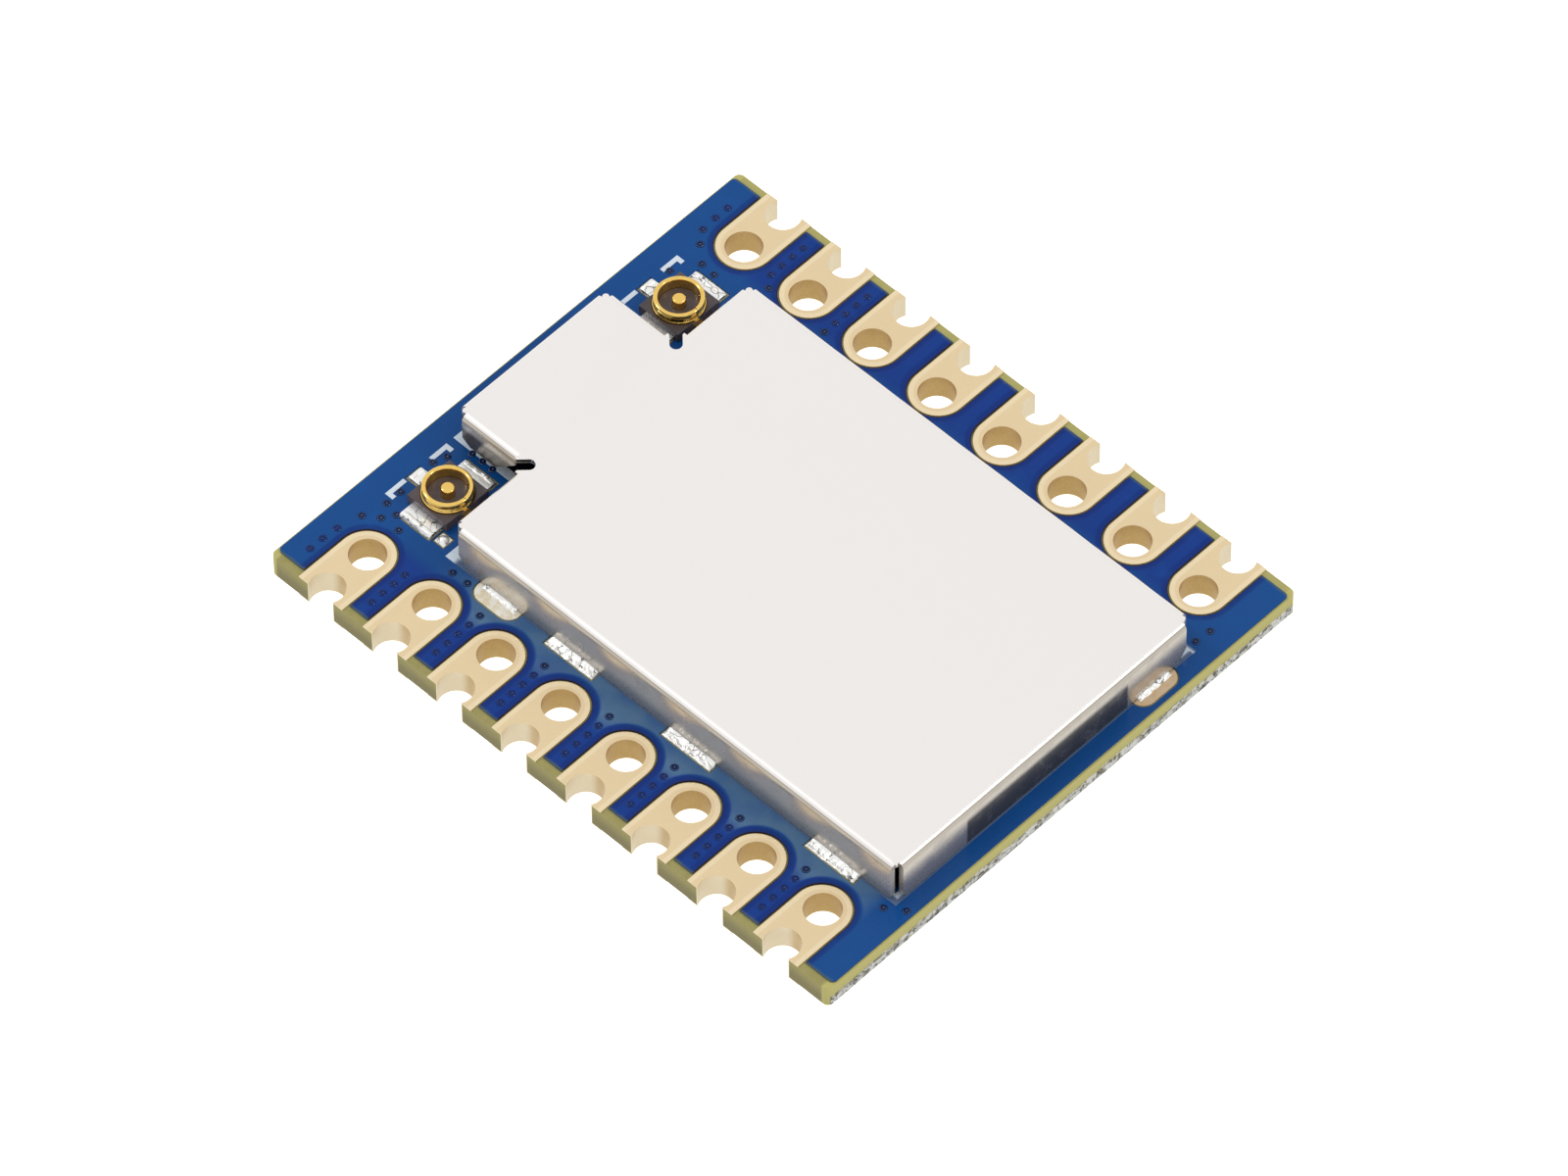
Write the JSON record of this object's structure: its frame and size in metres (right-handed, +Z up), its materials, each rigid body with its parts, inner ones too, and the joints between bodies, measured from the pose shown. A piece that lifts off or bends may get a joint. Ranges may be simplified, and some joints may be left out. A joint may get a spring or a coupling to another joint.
{
  "type": "shielded radio module",
  "caption": "Small blue radio module with castellated gold pads along two edges, a folded shield can and two micro coaxial antenna connectors.",
  "frame": {"origin": "middle of the board's underside", "axes": "+X along the board's longer side, away from the antenna connectors; +Z up, out of the board's upper face"},
  "size_m": [0.0218, 0.019, 0.0025],
  "materials": {
    "laminate": "satin",
    "solder_mask": "gloss",
    "copper": "satin",
    "legend": "matte",
    "can_sheet": "satin",
    "tin": "satin",
    "solder": "gloss",
    "black_plastic": "matte",
    "gold_plate": "polished",
    "gold_pad": "satin",
    "ferrite": "matte",
    "white_ceramic": "matte",
    "tan_ceramic": "matte",
    "blue_ceramic": "matte"
  },
  "bodies": {
    "root": {"board_core": "laminate", "solder_mask_top": "solder_mask", "solder_mask_bottom": "solder_mask", "via_barrels": "copper", "legend_top": "legend", "shield_can": "can_sheet", "can_lands": "tin", "can_solder": "solder", "antenna_a_insulator": "black_plastic", "antenna_a_ground_shell": "gold_plate", "antenna_a_contact": "gold_plate", "antenna_a_lands": "tin", "antenna_a_solder": "solder", "antenna_b_insulator": "black_plastic", "antenna_b_ground_shell": "gold_plate", "antenna_b_contact": "gold_plate", "antenna_b_lands": "tin", "antenna_b_solder": "solder", "transceiver_chip": "black_plastic", "reference_oscillator": "can_sheet", "watch_crystal": "can_sheet", "power_inductor": "ferrite", "low_band_switch": "black_plastic", "high_band_switch": "black_plastic", "antenna_filter": "white_ceramic", "chip_capacitors": "tan_ceramic", "chip_inductors": "blue_ceramic", "chip_resistors": "black_plastic", "pad_01": "gold_pad", "pad_02": "gold_pad", "pad_03": "gold_pad", "pad_04": "gold_pad", "pad_05": "gold_pad", "pad_06": "gold_pad", "pad_07": "gold_pad", "pad_08": "gold_pad", "pad_09": "gold_pad", "pad_10": "gold_pad", "pad_11": "gold_pad", "pad_12": "gold_pad", "pad_13": "gold_pad", "pad_14": "gold_pad", "pad_15": "gold_pad", "pad_16": "gold_pad"}
  },
  "joints": []
}
